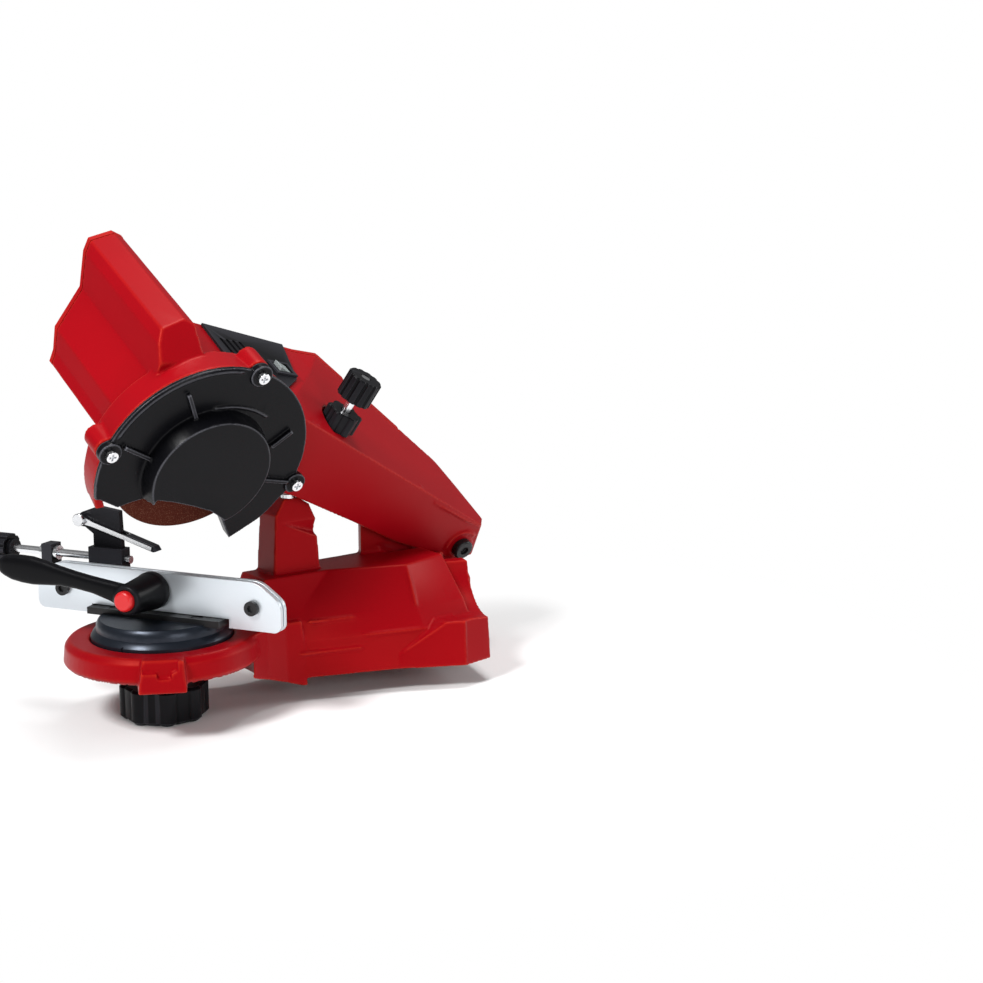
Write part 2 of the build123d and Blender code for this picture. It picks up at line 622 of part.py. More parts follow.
with BuildPart() as cover_screws:
    for x, h in COVER_SCREWS:
        column(x, h, 1.65, 4, 17.2)
        column(x, h, 3.6, 17.05, 20)
    with BuildSketch(HEAD.offset(18.6)) as cross:
        for x, h in COVER_SCREWS:
            with Locations((x, h)):
                Rectangle(4.4, 1)
                Rectangle(1, 4.4)
    extrude(cross.sketch, amount=3, mode=Mode.SUBTRACT)
save(cover_screws.part, "cover_screws")

# ---------------------------------------------------------------- hinge bolt and nut
with BuildPart() as hinge_bolt:
    column(HINGE_X, HINGE_H, HINGE_PIN_R, -0.9, -32)
    column(HINGE_X, HINGE_H, 7.5, -0.95, 4.5)
    chamfer(hinge_bolt.edges().filter_by(GeomType.CIRCLE).sort_by(HEAD_AXIS)[-1], 1)
    with BuildSketch(HEAD.offset(2)) as socket:
        with Locations((HINGE_X, HINGE_H)):
            RegularPolygon(3.4, 6)
    extrude(socket.sketch, amount=4, mode=Mode.SUBTRACT)
save(hinge_bolt.part, "hinge_bolt")

with BuildPart() as hinge_nut:
    with BuildSketch(HEAD.offset(-26.1)) as hexagon:
        with Locations((HINGE_X, HINGE_H)):
            RegularPolygon(7.4, 6)
            Circle(HINGE_PIN_R + 0.02, mode=Mode.SUBTRACT)
    extrude(hexagon.sketch, amount=-5.5)
save(hinge_nut.part, "hinge_nut")

# ---------------------------------------------------------------- motor
with BuildPart() as stator:
    with BuildSketch(HEAD.offset(STATOR_W)) as lamination:
        Circle(STATOR_R)
        with Locations((-MOTOR_SCREW_X, 0), (MOTOR_SCREW_X, 0)):
            Circle(4.8)
        Circle(23, mode=Mode.SUBTRACT)
        for tilt in (0, 180):
            add(sector(AIR_GAP_R, 23.5, 42 + tilt, 138 + tilt))
        with Locations((-MOTOR_SCREW_X, 0), (MOTOR_SCREW_X, 0)):
            Circle(2.1, mode=Mode.SUBTRACT)
    extrude(lamination.sketch, amount=-STATOR_LEN)
save(stator.part, "motor_stator")

with BuildPart() as coils:
    for tilt in (0, 180):
        with BuildSketch(HEAD.offset(STATOR_W + 3.5)) as loop:
            add(sector(AIR_GAP_R + 1.2, 22.6, 8 + tilt, 172 + tilt))
        extrude(loop.sketch, amount=-(STATOR_LEN + 7))
    with BuildSketch(HEAD.offset(STATOR_W + 0.2)) as poles:
        for tilt in (0, 180):
            add(sector(AIR_GAP_R - 3, 24, 41 + tilt, 139 + tilt))
    extrude(poles.sketch, amount=-(STATOR_LEN + 0.4), mode=Mode.SUBTRACT)
save(coils.part, "field_coils")

with BuildPart() as motor_screws:
    for x in (-MOTOR_SCREW_X, MOTOR_SCREW_X):
        column(x, 0, 1.65, -17, STATOR_W - STATOR_LEN - 0.5)
        column(x, 0, 3.2, STATOR_W - STATOR_LEN - 0.1, STATOR_W - STATOR_LEN - 3)
save(motor_screws.part, "motor_screws")

with BuildPart() as front_bearing:
    ring(HEAD.offset(-16.5), BEARING_R, SHAFT_R + 0.02, 7)
    ring(HEAD.offset(-17), 8.6, 6.2, 1, Mode.SUBTRACT)
    ring(HEAD.offset(-10), 8.6, 6.2, 1, Mode.SUBTRACT)
save(front_bearing.part, "front_bearing")

with BuildPart() as rear_bearing:
    ring(HEAD.offset(-72.8), REAR_BEARING_R, 3.02, 5)
    ring(HEAD.offset(-68.3), 6.2, 4.4, 1, Mode.SUBTRACT)
save(rear_bearing.part, "rear_bearing")

with BuildPart() as motor_shaft:
    column(0, 0, SHAFT_R, 4.9, -66.5)
    column(0, 0, 3.0, -66.5, -73)
    column(0, 0, SHAFT_R - 0.15, 4.9, 13)
    chamfer(motor_shaft.edges().filter_by(GeomType.CIRCLE).sort_by(HEAD_AXIS)[-1], 0.8)
save(motor_shaft.part, "motor_shaft")

with BuildPart() as fan:
    ring(HEAD.offset(-24.8), 7, SHAFT_R + 0.02, 6)
    ring(HEAD.offset(-24.8), 22, 6.5, 1.2)
    with BuildSketch(HEAD.offset(-23.7)) as blades:
        with PolarLocations(14, 9):
            with Locations(Location((0, 0, 0), 25)):
                Rectangle(15, 1.2)
    extrude(blades.sketch, amount=4.5)
save(fan.part, "cooling_fan")

with BuildPart() as core:
    with BuildSketch(HEAD.offset(STATOR_W)) as core_face:
        Circle(ROTOR_R)
        Circle(SHAFT_R + 0.02, mode=Mode.SUBTRACT)
        with PolarLocations(10.4, SLOTS):
            SlotOverall(5.2, 2.6, mode=Mode.SUBTRACT)
        with PolarLocations(ROTOR_R - 0.8, SLOTS):
            Rectangle(3, 0.9, mode=Mode.SUBTRACT)
    extrude(core_face.sketch, amount=-STATOR_LEN)
save(core.part, "armature_core")

with BuildPart() as windings:
    ring(HEAD.offset(STATOR_W + 0.1), 12.9, 5.2, 3)
    ring(HEAD.offset(STATOR_W - STATOR_LEN - 3.1), 12.9, 5.2, 3)
    with BuildSketch(HEAD.offset(STATOR_W + 1)) as bars:
        with PolarLocations(10.4, SLOTS):
            SlotOverall(4.9, 2.3)
    extrude(bars.sketch, amount=-(STATOR_LEN + 2))
save(windings.part, "armature_windings")

with BuildPart() as commutator:
    with BuildSketch(HEAD.offset(COMMUTATOR_W)) as segments:
        Circle(COMMUTATOR_R)
        Circle(SHAFT_R + 0.02, mode=Mode.SUBTRACT)
        with PolarLocations(COMMUTATOR_R, 2 * SLOTS):
            Rectangle(1.6, 0.4, mode=Mode.SUBTRACT)
    extrude(segments.sketch, amount=-7)
save(commutator.part, "commutator")

BRUSH = Plane(origin=head_point(0, 0, COMMUTATOR_W - 3.5), x_dir=head_dir(0, 1, 0), z_dir=(1, 0, 0))
with BuildPart() as brushes:
    for side in (1, -1):
        with BuildSketch(BRUSH.offset(side * (COMMUTATOR_R + 0.35))) as carbon:
            Rectangle(5, 4.4)
        extrude(carbon.sketch, amount=side * 9)
save(brushes.part, "carbon_brushes")

with BuildPart() as holders:
    for side in (1, -1):
        with BuildSketch(BRUSH.offset(side * (COMMUTATOR_R + 2))) as shell:
            Rectangle(7, 6.2)
            Rectangle(5.1, 4.5, mode=Mode.SUBTRACT)
        extrude(shell.sketch, amount=side * 9)
        with BuildSketch(BRUSH.offset(side * (COMMUTATOR_R + 11))) as cap:
            Rectangle(7, 6.2)
        extrude(cap.sketch, amount=side * 2)
save(holders.part, "brush_holders")

# ---------------------------------------------------------------- grinding spindle
with BuildPart() as inner_flange:
    ring(HEAD.offset(-4.6), 16, SHAFT_R + 0.02, 2.95)
    ring(HEAD.offset(-7.5), 7, SHAFT_R + 0.02, 3)
    ring(HEAD.offset(-1.65), WHEEL_BORE_R - 0.05, SHAFT_R + 0.02, 2.7)
save(inner_flange.part, "inner_flange")

with BuildPart() as wheel:
    ring(HEAD.offset(-WHEEL_T / 2), WHEEL_R, WHEEL_BORE_R, WHEEL_T)
save(wheel.part, "grinding_disc")

with BuildPart() as outer_flange:
    ring(HEAD.offset(WHEEL_T / 2 + 0.05), 16, SHAFT_R + 0.02, 3)
    ring(HEAD.offset(WHEEL_T / 2), 14, SHAFT_R, 0.4, Mode.SUBTRACT)
save(outer_flange.part, "outer_flange")

with BuildPart() as spindle_nut:
    with BuildSketch(HEAD.offset(4.95)) as nut_face:
        RegularPolygon(7.4, 6)
        Circle(SHAFT_R, mode=Mode.SUBTRACT)
    extrude(nut_face.sketch, amount=5)
save(spindle_nut.part, "spindle_nut")

# ---------------------------------------------------------------- grille and switch
with BuildPart() as grille:
    with BuildSketch(PANEL.offset(0.05)) as plate:
        with BuildLine():
            Polyline(*PANEL_PLAN, close=True)
        make_face()
    extrude(plate.sketch, amount=1.6)
    with BuildSketch(PANEL.offset(0)) as slots:
        with GridLocations(5.0, 1, 4, 1):
            with Locations((26, 55)):
                SlotOverall(46, 2.4, rotation=90)
        with Locations((SWITCH_U, SWITCH_V)):
            Rectangle(13.4, 12.4)
    extrude(slots.sketch, amount=3, mode=Mode.SUBTRACT)
save(grille.part, "vent_grille")

with BuildPart() as switch_body:
    with BuildSketch(PANEL.offset(-13)) as well:
        with Locations((SWITCH_U, SWITCH_V)):
            Rectangle(13, 12)
    extrude(well.sketch, amount=14.8)
    with BuildSketch(PANEL.offset(1.75)) as frame:
        with Locations((SWITCH_U, SWITCH_V)):
            Rectangle(16, 15)
    extrude(frame.sketch, amount=1.3)
    with BuildSketch(PANEL.offset(-4.6)) as pocket:
        with Locations((SWITCH_U, SWITCH_V)):
            Rectangle(10.8, 9.8)
    extrude(pocket.sketch, amount=9, mode=Mode.SUBTRACT)
    with BuildSketch(PANEL.offset(-17)) as tabs:
        with Locations((SWITCH_U - 3, SWITCH_V), (SWITCH_U + 3, SWITCH_V)):
            Rectangle(0.8, 4.8)
    extrude(tabs.sketch, amount=4.5)
save(switch_body.part, "switch_body")

ROCK = Plane(origin=PANEL.from_local_coords(Vector(SWITCH_U, SWITCH_V, 0.4)), x_dir=PANEL.x_dir,
             z_dir=PANEL.y_dir * -1)
with BuildPart() as rocker:
    with BuildSketch(ROCK.offset(-4.5)) as key:
        with BuildLine():
            Polyline((-4.9, -0.6), (4.2, -3.0), (4.9, 1.8), (0.4, 3.2), (-4.9, 5.2), close=True)
        make_face()
    extrude(key.sketch, amount=9)
save(rocker.part, "switch_rocker")

# ---------------------------------------------------------------- depth screw
with BuildPart() as insert:
    ring(SCREW_SEAT.offset(-13), 5, SCREW_R + RUN, 12.9)
save(insert.part, "depth_insert")

with BuildPart() as depth_screw:
    disc(SCREW.offset(-37.4), SCREW_R, 69.3)
    chamfer(depth_screw.edges().filter_by(GeomType.CIRCLE).sort_by(SCREW_AXIS)[0], 1)
save(depth_screw.part, "depth_screw")

with BuildPart() as lock_nut:
    with BuildSketch(SCREW_SEAT.offset(0.1)) as lobes:
        Circle(10.4)
        with PolarLocations(9.4, 6):
            Circle(3)
        Circle(SCREW_R + RUN, mode=Mode.SUBTRACT)
    extrude(lobes.sketch, amount=13)
    chamfer(lock_nut.edges().group_by(SCREW_AXIS)[-1], 0.8)
save(lock_nut.part, "depth_lock_nut")

with BuildPart() as depth_knob:
    with BuildSketch(SCREW.offset(15.5)) as grip:
        Circle(11.6)
        with PolarLocations(12.2, 12):
            Circle(1.5, mode=Mode.SUBTRACT)
        Circle(SCREW_R + RUN, mode=Mode.SUBTRACT)
    extrude(grip.sketch, amount=16.8)
    chamfer(depth_knob.edges().group_by(SCREW_AXIS)[-1], 0.8)
save(depth_knob.part, "depth_knob")

# gland of the mains lead
GLAND = Plane(origin=(TX - 20, 33, 190), x_dir=(1, 0, 0), z_dir=(0, 1, 0))
with BuildPart() as gland:
    ring(GLAND.offset(0.05), 7, 3.2, 3)
    ring(GLAND.offset(3), 5.4, 3.2, 16)
save(gland.part, "cable_gland")


# ================================================================ turntable
with BuildPart() as table:
    with BuildSketch(SIDE) as table_profile:
        with BuildLine():
            Polyline((STUD_R, 34.8), (TABLE_RIM_R, 34.8), (TABLE_RIM_R, 39.2), (42.6, 41.6), (40.6, 43),
                     (40.4, 46.6), (TABLE_TOP_R, TABLE_TOP_Z - 1), (TABLE_TOP_R - 1, TABLE_TOP_Z),
                     (STUD_R, TABLE_TOP_Z), close=True)
        make_face()
    revolve(table_profile.sketch, axis=Axis((TX, 0, 0), (0, 0, 1)))
    # hollow underneath, leaving a hub and a rim
    ring(TABLE.offset(34), 38, 12, 9, Mode.SUBTRACT)
    # slot that the carrier stands in
    with BuildSketch(CARRIER.offset(CARRIER_Z)) as track:
        Rectangle(100, 2 * CARRIER_HALF)
    extrude(track.sketch, amount=5, mode=Mode.SUBTRACT)
    # index mark
    with BuildSketch(CARRIER.offset(34)) as mark:
        with Locations((0, -TABLE_RIM_R)):
            Rectangle(1.2, 1.6)
    extrude(mark.sketch, amount=6, mode=Mode.SUBTRACT)
    with BuildSketch(CARRIER.offset(34)) as tapped:
        with Locations(*CARRIER_SCREW_AT):
            Circle(2)
    extrude(tapped.sketch, amount=20, mode=Mode.SUBTRACT)
save(table.part, "turntable_disc")

with BuildPart() as stud:
    disc(TABLE.offset(-6), STUD_R - 1, 41)
    disc(TABLE.offset(21), STUD_R, CARRIER_Z - 21.1)
    with BuildSketch(TABLE.offset(CARRIER_Z - 5.1)) as stud_head:
        Circle(STUD_R)
    extrude(stud_head.sketch, amount=5)
save(stud.part, "table_stud")

with BuildPart() as carrier:
    with BuildSketch(CARRIER.offset(CARRIER_Z + 0.05)) as sole:
        Rectangle(96, 2 * CARRIER_HALF - 0.1)
    extrude(sole.sketch, amount=52.9 - CARRIER_Z - 0.05)
    with BuildSketch(CARRIER.offset(CARRIER_Z)) as passage:
        with Locations(*CARRIER_SCREW_AT):
            Circle(2.2)
    extrude(passage.sketch, amount=10, mode=Mode.SUBTRACT)
    with BuildSketch(CARRIER.offset(50.5)) as sinks:
        with Locations(*CARRIER_SCREW_AT):
            Circle(4)
    extrude(sinks.sketch, amount=5, mode=Mode.SUBTRACT)
save(carrier.part, "rail_carrier")

with BuildPart() as carrier_screws:
    with BuildSketch(CARRIER.offset(43)) as shanks:
        with Locations(*CARRIER_SCREW_AT):
            Circle(1.95)
    extrude(shanks.sketch, amount=8)
    with BuildSketch(CARRIER.offset(50.55)) as heads:
        with Locations(*CARRIER_SCREW_AT):
            Circle(3.7)
    extrude(heads.sketch, amount=2)
save(carrier_screws.part, "carrier_screws")

# ---------------------------------------------------------------- lock knob below the nose
with BuildPart() as lock_knob:
    with BuildSketch(TABLE.offset(-15)) as lobed:
        Circle(25.6)
        with PolarLocations(21, 8, start_angle=22.5):
            Circle(6.8)
    extrude(lobed.sketch, amount=22)
    chamfer(lock_knob.edges().group_by(Axis.Z)[0], 2)
    chamfer(lock_knob.edges().group_by(Axis.Z)[-1], 1.5)
    disc(TABLE.offset(6.9), 14, 12.8)
    disc(TABLE.offset(-8), 8.02, 30, Mode.SUBTRACT)
save(lock_knob.part, "table_lock_knob")

with BuildPart() as lock_insert:
    ring(TABLE.offset(-7.9), 8, STUD_R - 1 + RUN, 27.4)
    ring(TABLE.offset(18), 9, STUD_R - 1, 3, Mode.SUBTRACT)
save(lock_insert.part, "lock_knob_insert")

# ================================================================ guide rail
RAIL_PLAN = (
    (-76, 78), (-89.9, 67), (-89.9, 47.5), (-48, 47.5), (-48, 53), (50, 53), (50, 47.5), (87.3, 47.5),
    (87.3, 66), (71, 78),
)
RAIL_CORNERS = (
    (-76, 78, 14), (-89.9, 67, 8), (-89.9, 47.5, 5), (87.3, 47.5, 5), (87.3, 66, 10), (71, 78, 18),
)


def plate(offset_from, thick, screw_r, bolt_r):
    with BuildSketch(RAIL.offset(offset_from)) as face:
        with BuildLine():
            Polyline(*RAIL_PLAN, close=True)
        make_face()
        for x, y, r in RAIL_CORNERS:
            corner = face.vertices().sort_by_distance(Vector(x, y, 0))[0]
            fillet(corner, r)
        with Locations(*GUIDE_SCREWS):
            Circle(screw_r, mode=Mode.SUBTRACT)
        with Locations(CLAMP_AT):
            Circle(bolt_r, mode=Mode.SUBTRACT)
    extrude(face.sketch, amount=thick)


with BuildPart() as far_plate:
    plate(-3.7, 3, 2.02, 3.02)
    # foot that stands on the carrier
    with BuildSketch(RAIL.offset(-CARRIER_HALF + 0.5)) as foot_strip:
        with BuildLine():
            Polyline((-46, 53), (46, 53), (46, 56), (-46, 56), close=True)
        make_face()
    extrude(foot_strip.sketch, amount=CARRIER_HALF - 4.2)
save(far_plate.part, "fixed_rail_plate")

with BuildPart() as near_plate:
    plate(0.8, 3, 2.08, 3.08)
    with BuildSketch(RAIL.offset(0)) as clear:
        with BuildLine():
            Polyline((-49, 40), (51, 40), (51, 53.3), (-49, 53.3), close=True)
        make_face()
    extrude(clear.sketch, amount=6, mode=Mode.SUBTRACT)
save(near_plate.part, "moving_rail_plate")

with BuildPart() as guide_screws:
    for place in GUIDE_SCREWS:
        with BuildSketch(RAIL.offset(-4.6)) as shank:
            with Locations(place):
                Circle(2)
        extrude(shank.sketch, amount=9)
        with BuildSketch(RAIL.offset(4.15)) as head_face:
            with Locations(place):
                Circle(4.6)
        extrude(head_face.sketch, amount=2.6)
        with BuildSketch(RAIL.offset(5.2)) as hex_face:
            with Locations(place):
                RegularPolygon(2.4, 6)
        extrude(hex_face.sketch, amount=3, mode=Mode.SUBTRACT)
        with BuildSketch(RAIL.offset(-3.75)) as back_nut:
            with Locations(place):
                RegularPolygon(4.4, 6)
        extrude(back_nut.sketch, amount=-3)
save(guide_screws.part, "guide_screws")

with BuildPart() as clamp_bolt:
    with BuildSketch(RAIL.offset(-7)) as bolt_face:
        with Locations(CLAMP_AT):
            Circle(3)
    extrude(bolt_face.sketch, amount=38)
    with BuildSketch(RAIL.offset(-3.75)) as bolt_head:
        with Locations(CLAMP_AT):
            RegularPolygon(5.6, 6)
    extrude(bolt_head.sketch, amount=-4)
save(clamp_bolt.part, "clamp_bolt")

# ---------------------------------------------------------------- clamp lever
with BuildPart() as lever:
    with BuildSketch(RAIL.offset(4.15)) as hub_back:
        with Locations(CLAMP_AT):
            Circle(12)
    extrude(hub_back.sketch, amount=6)
    with BuildSketch(RAIL.offset(10.1)) as hub_wide:
        with Locations(CLAMP_AT):
            Circle(12)
    with BuildSketch(RAIL.offset(36)) as hub_narrow:
        with Locations(CLAMP_AT):
            Circle(9)
    loft([hub_wide.sketch, hub_narrow.sketch], ruled=True)
    with BuildSketch(RAIL.offset(27.5)) as arm_face:
        with BuildLine():
            Polyline((-98, 80), (-96.5, 84.5), (-92, 87), (-70.4, 88), (-56, 84), (-37.3, 79.8), (-10.6, 77.5),
                     (-2, 76.3), (5, 72), (5, 62), (-2, 58.4), (-10.7, 64.4), (-33.6, 69), (-54.4, 71),
                     (-72, 69.5), (-81.4, 70), (-88, 72), (-96, 76.5), close=True)
        make_face()
    extrude(arm_face.sketch, amount=7.5)
    with BuildSketch(RAIL.offset(4)) as hub_bore:
        with Locations(CLAMP_AT):
            Circle(6.42)
    extrude(hub_bore.sketch, amount=40, mode=Mode.SUBTRACT)
save(lever.part, "clamp_lever")

with BuildPart() as lever_insert:
    with BuildSketch(RAIL.offset(4.2)) as insert_face:
        with Locations(CLAMP_AT):
            Circle(6.4)
            Circle(3 + RUN, mode=Mode.SUBTRACT)
    extrude(insert_face.sketch, amount=27.5)
save(lever_insert.part, "lever_insert")

with BuildPart() as lever_cap:
    with BuildSketch(RAIL.offset(32)) as plug:
        with Locations(CLAMP_AT):
            Circle(6.38)
    extrude(plug.sketch, amount=7.5)
    chamfer(lever_cap.faces().sort_by(RAIL_AXIS)[-1].edges(), 1.2)
save(lever_cap.part, "lever_cap")

# ================================================================ chain stop
with BuildPart() as guide:
    with BuildSketch(RAIL.offset(-3.75)) as wall_face:
        with BuildLine():
            Polyline((-92, 64), (-22, 64), (-22, 72), (-84, 72), (-84, 87), (-92, 87), close=True)
        make_face()
    extrude(wall_face.sketch, amount=-10.5)
    # groove for the tongue of the carriage
    with BuildSketch(RAIL.offset(-7)) as groove:
        with BuildLine():
            Polyline((-84, 67), (-18, 67), (-18, 73), (-84, 73), close=True)
        make_face()
    extrude(groove.sketch, amount=-4, mode=Mode.SUBTRACT)
    with BuildSketch(ROD.offset(-95)) as rod_bore:
        Circle(ROD_R + RUN)
    extrude(rod_bore.sketch, amount=15, mode=Mode.SUBTRACT)
    with BuildSketch(RAIL.offset(-3)) as relief:
        with Locations(*GUIDE_SCREWS, CLAMP_AT):
            Circle(6.2)
    extrude(relief.sketch, amount=-14, mode=Mode.SUBTRACT)
save(guide.part, "stop_guide")

with BuildPart() as carriage:
    with BuildSketch(RAIL.offset(-4.3)) as saddle:
        with BuildLine():
            Polyline((-56, 72.4), (-31, 72.4), (-31, 88), (-56, 88), close=True)
        make_face()
    extrude(saddle.sketch, amount=-9.5)
    with BuildSketch(RAIL.offset(-7.4)) as tongue:
        with BuildLine():
            Polyline((-54, 68), (-33, 68), (-33, 73), (-54, 73), close=True)
        make_face()
    extrude(tongue.sketch, amount=-3.2)
    with BuildSketch(RAIL.offset(-7.6)) as bracket:
        with BuildLine():
            Polyline((-54, 87), (-33, 87), (-34, 112), (-50, 114), (-62, 109.5), (-67, 106), (-66, 100.5),
                     (-60, 100), (-54, 96), close=True)
        make_face()
    extrude(bracket.sketch, amount=-4)
    with BuildSketch(ROD.offset(-60)) as thread:
        Circle(ROD_R + RUN)
    extrude(thread.sketch, amount=40, mode=Mode.SUBTRACT)
    with BuildSketch(RAIL.offset(-3)) as pivot_hole:
        with Locations(PAWL_AT):
            Circle(2.02)
    extrude(pivot_hole.sketch, amount=-14, mode=Mode.SUBTRACT)
save(carriage.part, "stop_carriage")

with BuildPart() as pivot:
    with BuildSketch(RAIL.offset(-15.2)) as pivot_face:
        with Locations(PAWL_AT):
            Circle(2)
    extrude(pivot_face.sketch, amount=11.2)
    with BuildSketch(RAIL.offset(-5)) as pivot_head:
        with Locations(PAWL_AT):
            Circle(4)
    extrude(pivot_head.sketch, amount=2.4)
    with BuildSketch(RAIL.offset(-14.2)) as pivot_end:
        with Locations(PAWL_AT):
            Circle(3.4)
    extrude(pivot_end.sketch, amount=-1.6)
save(pivot.part, "pawl_pivot_screw")

with BuildPart() as pawl:
    for near in (-5.3, -12.6):
        with BuildSketch(RAIL.offset(near)) as strip:
            with BuildLine():
                Polyline((-66, 108.2), (-60, 108.6), (-9, 91.8), (-10, 88.6), (-63, 101.5), (-66, 103),
                         close=True)
            make_face()
            with Locations(PAWL_AT):
                Circle(2 + RUN, mode=Mode.SUBTRACT)
        extrude(strip.sketch, amount=-1.2)
save(pawl.part, "chain_pawl")

with BuildPart() as pawl_tip:
    with BuildSketch(RAIL.offset(-6.55)) as tip_face:
        with BuildLine():
            Polyline((-28, 97.4), (-8, 91.6), (-6, 88.6), (-9, 87.6), (-29, 93.4), close=True)
        make_face()
    extrude(tip_face.sketch, amount=-6)
save(pawl_tip.part, "pawl_tip")

with BuildPart() as rod:
    with BuildSketch(ROD.offset(-119)) as rod_face:
        Circle(ROD_R)
    extrude(rod_face.sketch, amount=92)
    for start, thick in ((-94.5, 2.2), (-83.7, 2.2)):
        with BuildSketch(ROD.offset(start)) as collar:
            Circle(4.6)
        extrude(collar.sketch, amount=thick)
save(rod.part, "stop_adjust_rod")

with BuildPart() as rod_knob:
    with BuildSketch(ROD.offset(-133)) as knob_face:
        Circle(9.4)
        with PolarLocations(9.9, 10):
            Circle(1.4, mode=Mode.SUBTRACT)
        Circle(ROD_R + 0.02, mode=Mode.SUBTRACT)
    extrude(knob_face.sketch, amount=14)
    with BuildSketch(ROD.offset(-133)) as knob_end:
        Circle(8)
    extrude(knob_end.sketch, amount=-1.5)
    with BuildSketch(ROD.offset(-119)) as neck:
        Circle(6)
        Circle(ROD_R + 0.02, mode=Mode.SUBTRACT)
    extrude(neck.sketch, amount=3)
save(rod_knob.part, "stop_adjust_knob")
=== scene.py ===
import bpy
import bmesh
import json
from math import atan2, cos, hypot, radians, sin, tau
from mathutils import Matrix, Vector

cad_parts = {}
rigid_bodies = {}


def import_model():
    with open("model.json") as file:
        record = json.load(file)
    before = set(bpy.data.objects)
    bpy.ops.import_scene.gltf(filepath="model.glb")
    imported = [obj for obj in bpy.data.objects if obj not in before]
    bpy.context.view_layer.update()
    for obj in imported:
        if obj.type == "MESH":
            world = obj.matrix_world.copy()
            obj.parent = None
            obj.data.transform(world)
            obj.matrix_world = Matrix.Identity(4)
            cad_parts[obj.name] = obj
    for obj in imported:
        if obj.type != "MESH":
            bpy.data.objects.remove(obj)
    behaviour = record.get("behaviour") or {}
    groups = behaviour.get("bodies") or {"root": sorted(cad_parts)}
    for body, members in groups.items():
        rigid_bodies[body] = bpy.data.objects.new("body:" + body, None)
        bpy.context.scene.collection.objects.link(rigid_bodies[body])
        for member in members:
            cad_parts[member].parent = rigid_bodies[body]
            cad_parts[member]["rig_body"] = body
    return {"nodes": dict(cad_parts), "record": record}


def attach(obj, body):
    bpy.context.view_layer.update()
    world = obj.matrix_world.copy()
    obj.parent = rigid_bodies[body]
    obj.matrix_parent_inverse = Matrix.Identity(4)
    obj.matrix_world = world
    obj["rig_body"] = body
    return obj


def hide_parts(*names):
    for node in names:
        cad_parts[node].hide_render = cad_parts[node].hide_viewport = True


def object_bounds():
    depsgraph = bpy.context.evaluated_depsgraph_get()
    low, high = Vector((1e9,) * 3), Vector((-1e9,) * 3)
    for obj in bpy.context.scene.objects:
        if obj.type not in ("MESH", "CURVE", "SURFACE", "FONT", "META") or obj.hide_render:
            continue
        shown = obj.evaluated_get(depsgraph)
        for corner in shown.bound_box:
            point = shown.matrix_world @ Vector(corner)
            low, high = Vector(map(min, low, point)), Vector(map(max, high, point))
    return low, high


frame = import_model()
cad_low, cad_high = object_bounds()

nodes = frame["nodes"]
MM = 0.001

# ---------------------------------------------------------------- reference frames
TX = -145.0  # x of the turntable's axis
TILT = radians(27.4)  # lean of the grinding head
RAIL_TURN = radians(30)  # turn of the vice about the turntable's axis
HEAD_O = Vector((TX + 5.2, -38.9, 158.0))  # a place on the wheel's axis
HEAD_N = Vector((0, -cos(TILT), -sin(TILT)))  # along the wheel's axis, out of the cover
HEAD_H = Vector((0, -sin(TILT), cos(TILT)))  # up the face of the head
ALONG = Vector((sin(RAIL_TURN), -cos(RAIL_TURN), 0))
OUTWARD = Vector((-cos(RAIL_TURN), -sin(RAIL_TURN), 0))


def head(x, h, w):
    """A place on the grinding head, in metres."""
    return (HEAD_O + Vector((x, 0, 0)) + HEAD_H * h + HEAD_N * w) * MM


def rail(d, z, o):
    """A place on the vice: d along the rail, z up, o outward, in metres."""
    return (Vector((TX, 0, 0)) + ALONG * d + OUTWARD * o + Vector((0, 0, z))) * MM


# ---------------------------------------------------------------- material helpers
IOR = 1.5
BLOTCH_SCALE, BLOTCH_DETAIL, GRAIN_DETAIL = 25.0, 4, 3
FLECK_SCALE, FLECK_DETAIL, FLECK_FROM, FLECK_TO = 1500.0, 1, 0.56, 0.68
EDGE_HIGHLIGHT_FROM, EDGE_HIGHLIGHT_TO = 0.508, 0.57  # pointiness at which an edge starts to take its painted highlight, and takes it fully


def new_material(name):
    """An empty node material, with its nodes and links."""
    m = bpy.data.materials.new(name)
    m.use_nodes = True
    m.node_tree.nodes.clear()
    return m, m.node_tree.nodes, m.node_tree.links


def noise(n, l, place, scale, detail):
    """Noise over a set of coordinates."""
    node = n.new("ShaderNodeTexNoise")
    node.inputs["Scale"].default_value = scale
    node.inputs["Detail"].default_value = detail
    l.new(place, node.inputs["Vector"])
    return node.outputs["Fac"]


def remap(n, l, value, **ends):
    """A value carried to another range, with the ends that aren't 0 and 1 given."""
    node = n.new("ShaderNodeMapRange")
    for end, number in ends.items():
        node.inputs[end.replace("_", " ")].default_value = number
    l.new(value, node.inputs["Value"])
    return node.outputs["Result"]


def over(n, l, under, color, factor):
    """One colour laid over another, which is a colour or a socket, by a factor."""
    node = n.new("ShaderNodeMix")
    node.data_type = "RGBA"
    if isinstance(under, tuple):
        node.inputs["A"].default_value = (*under, 1)
    else:
        l.new(under, node.inputs["A"])
    node.inputs["B"].default_value = (*color, 1)
    l.new(factor, node.inputs["Factor"])
    return node.outputs["Result"]


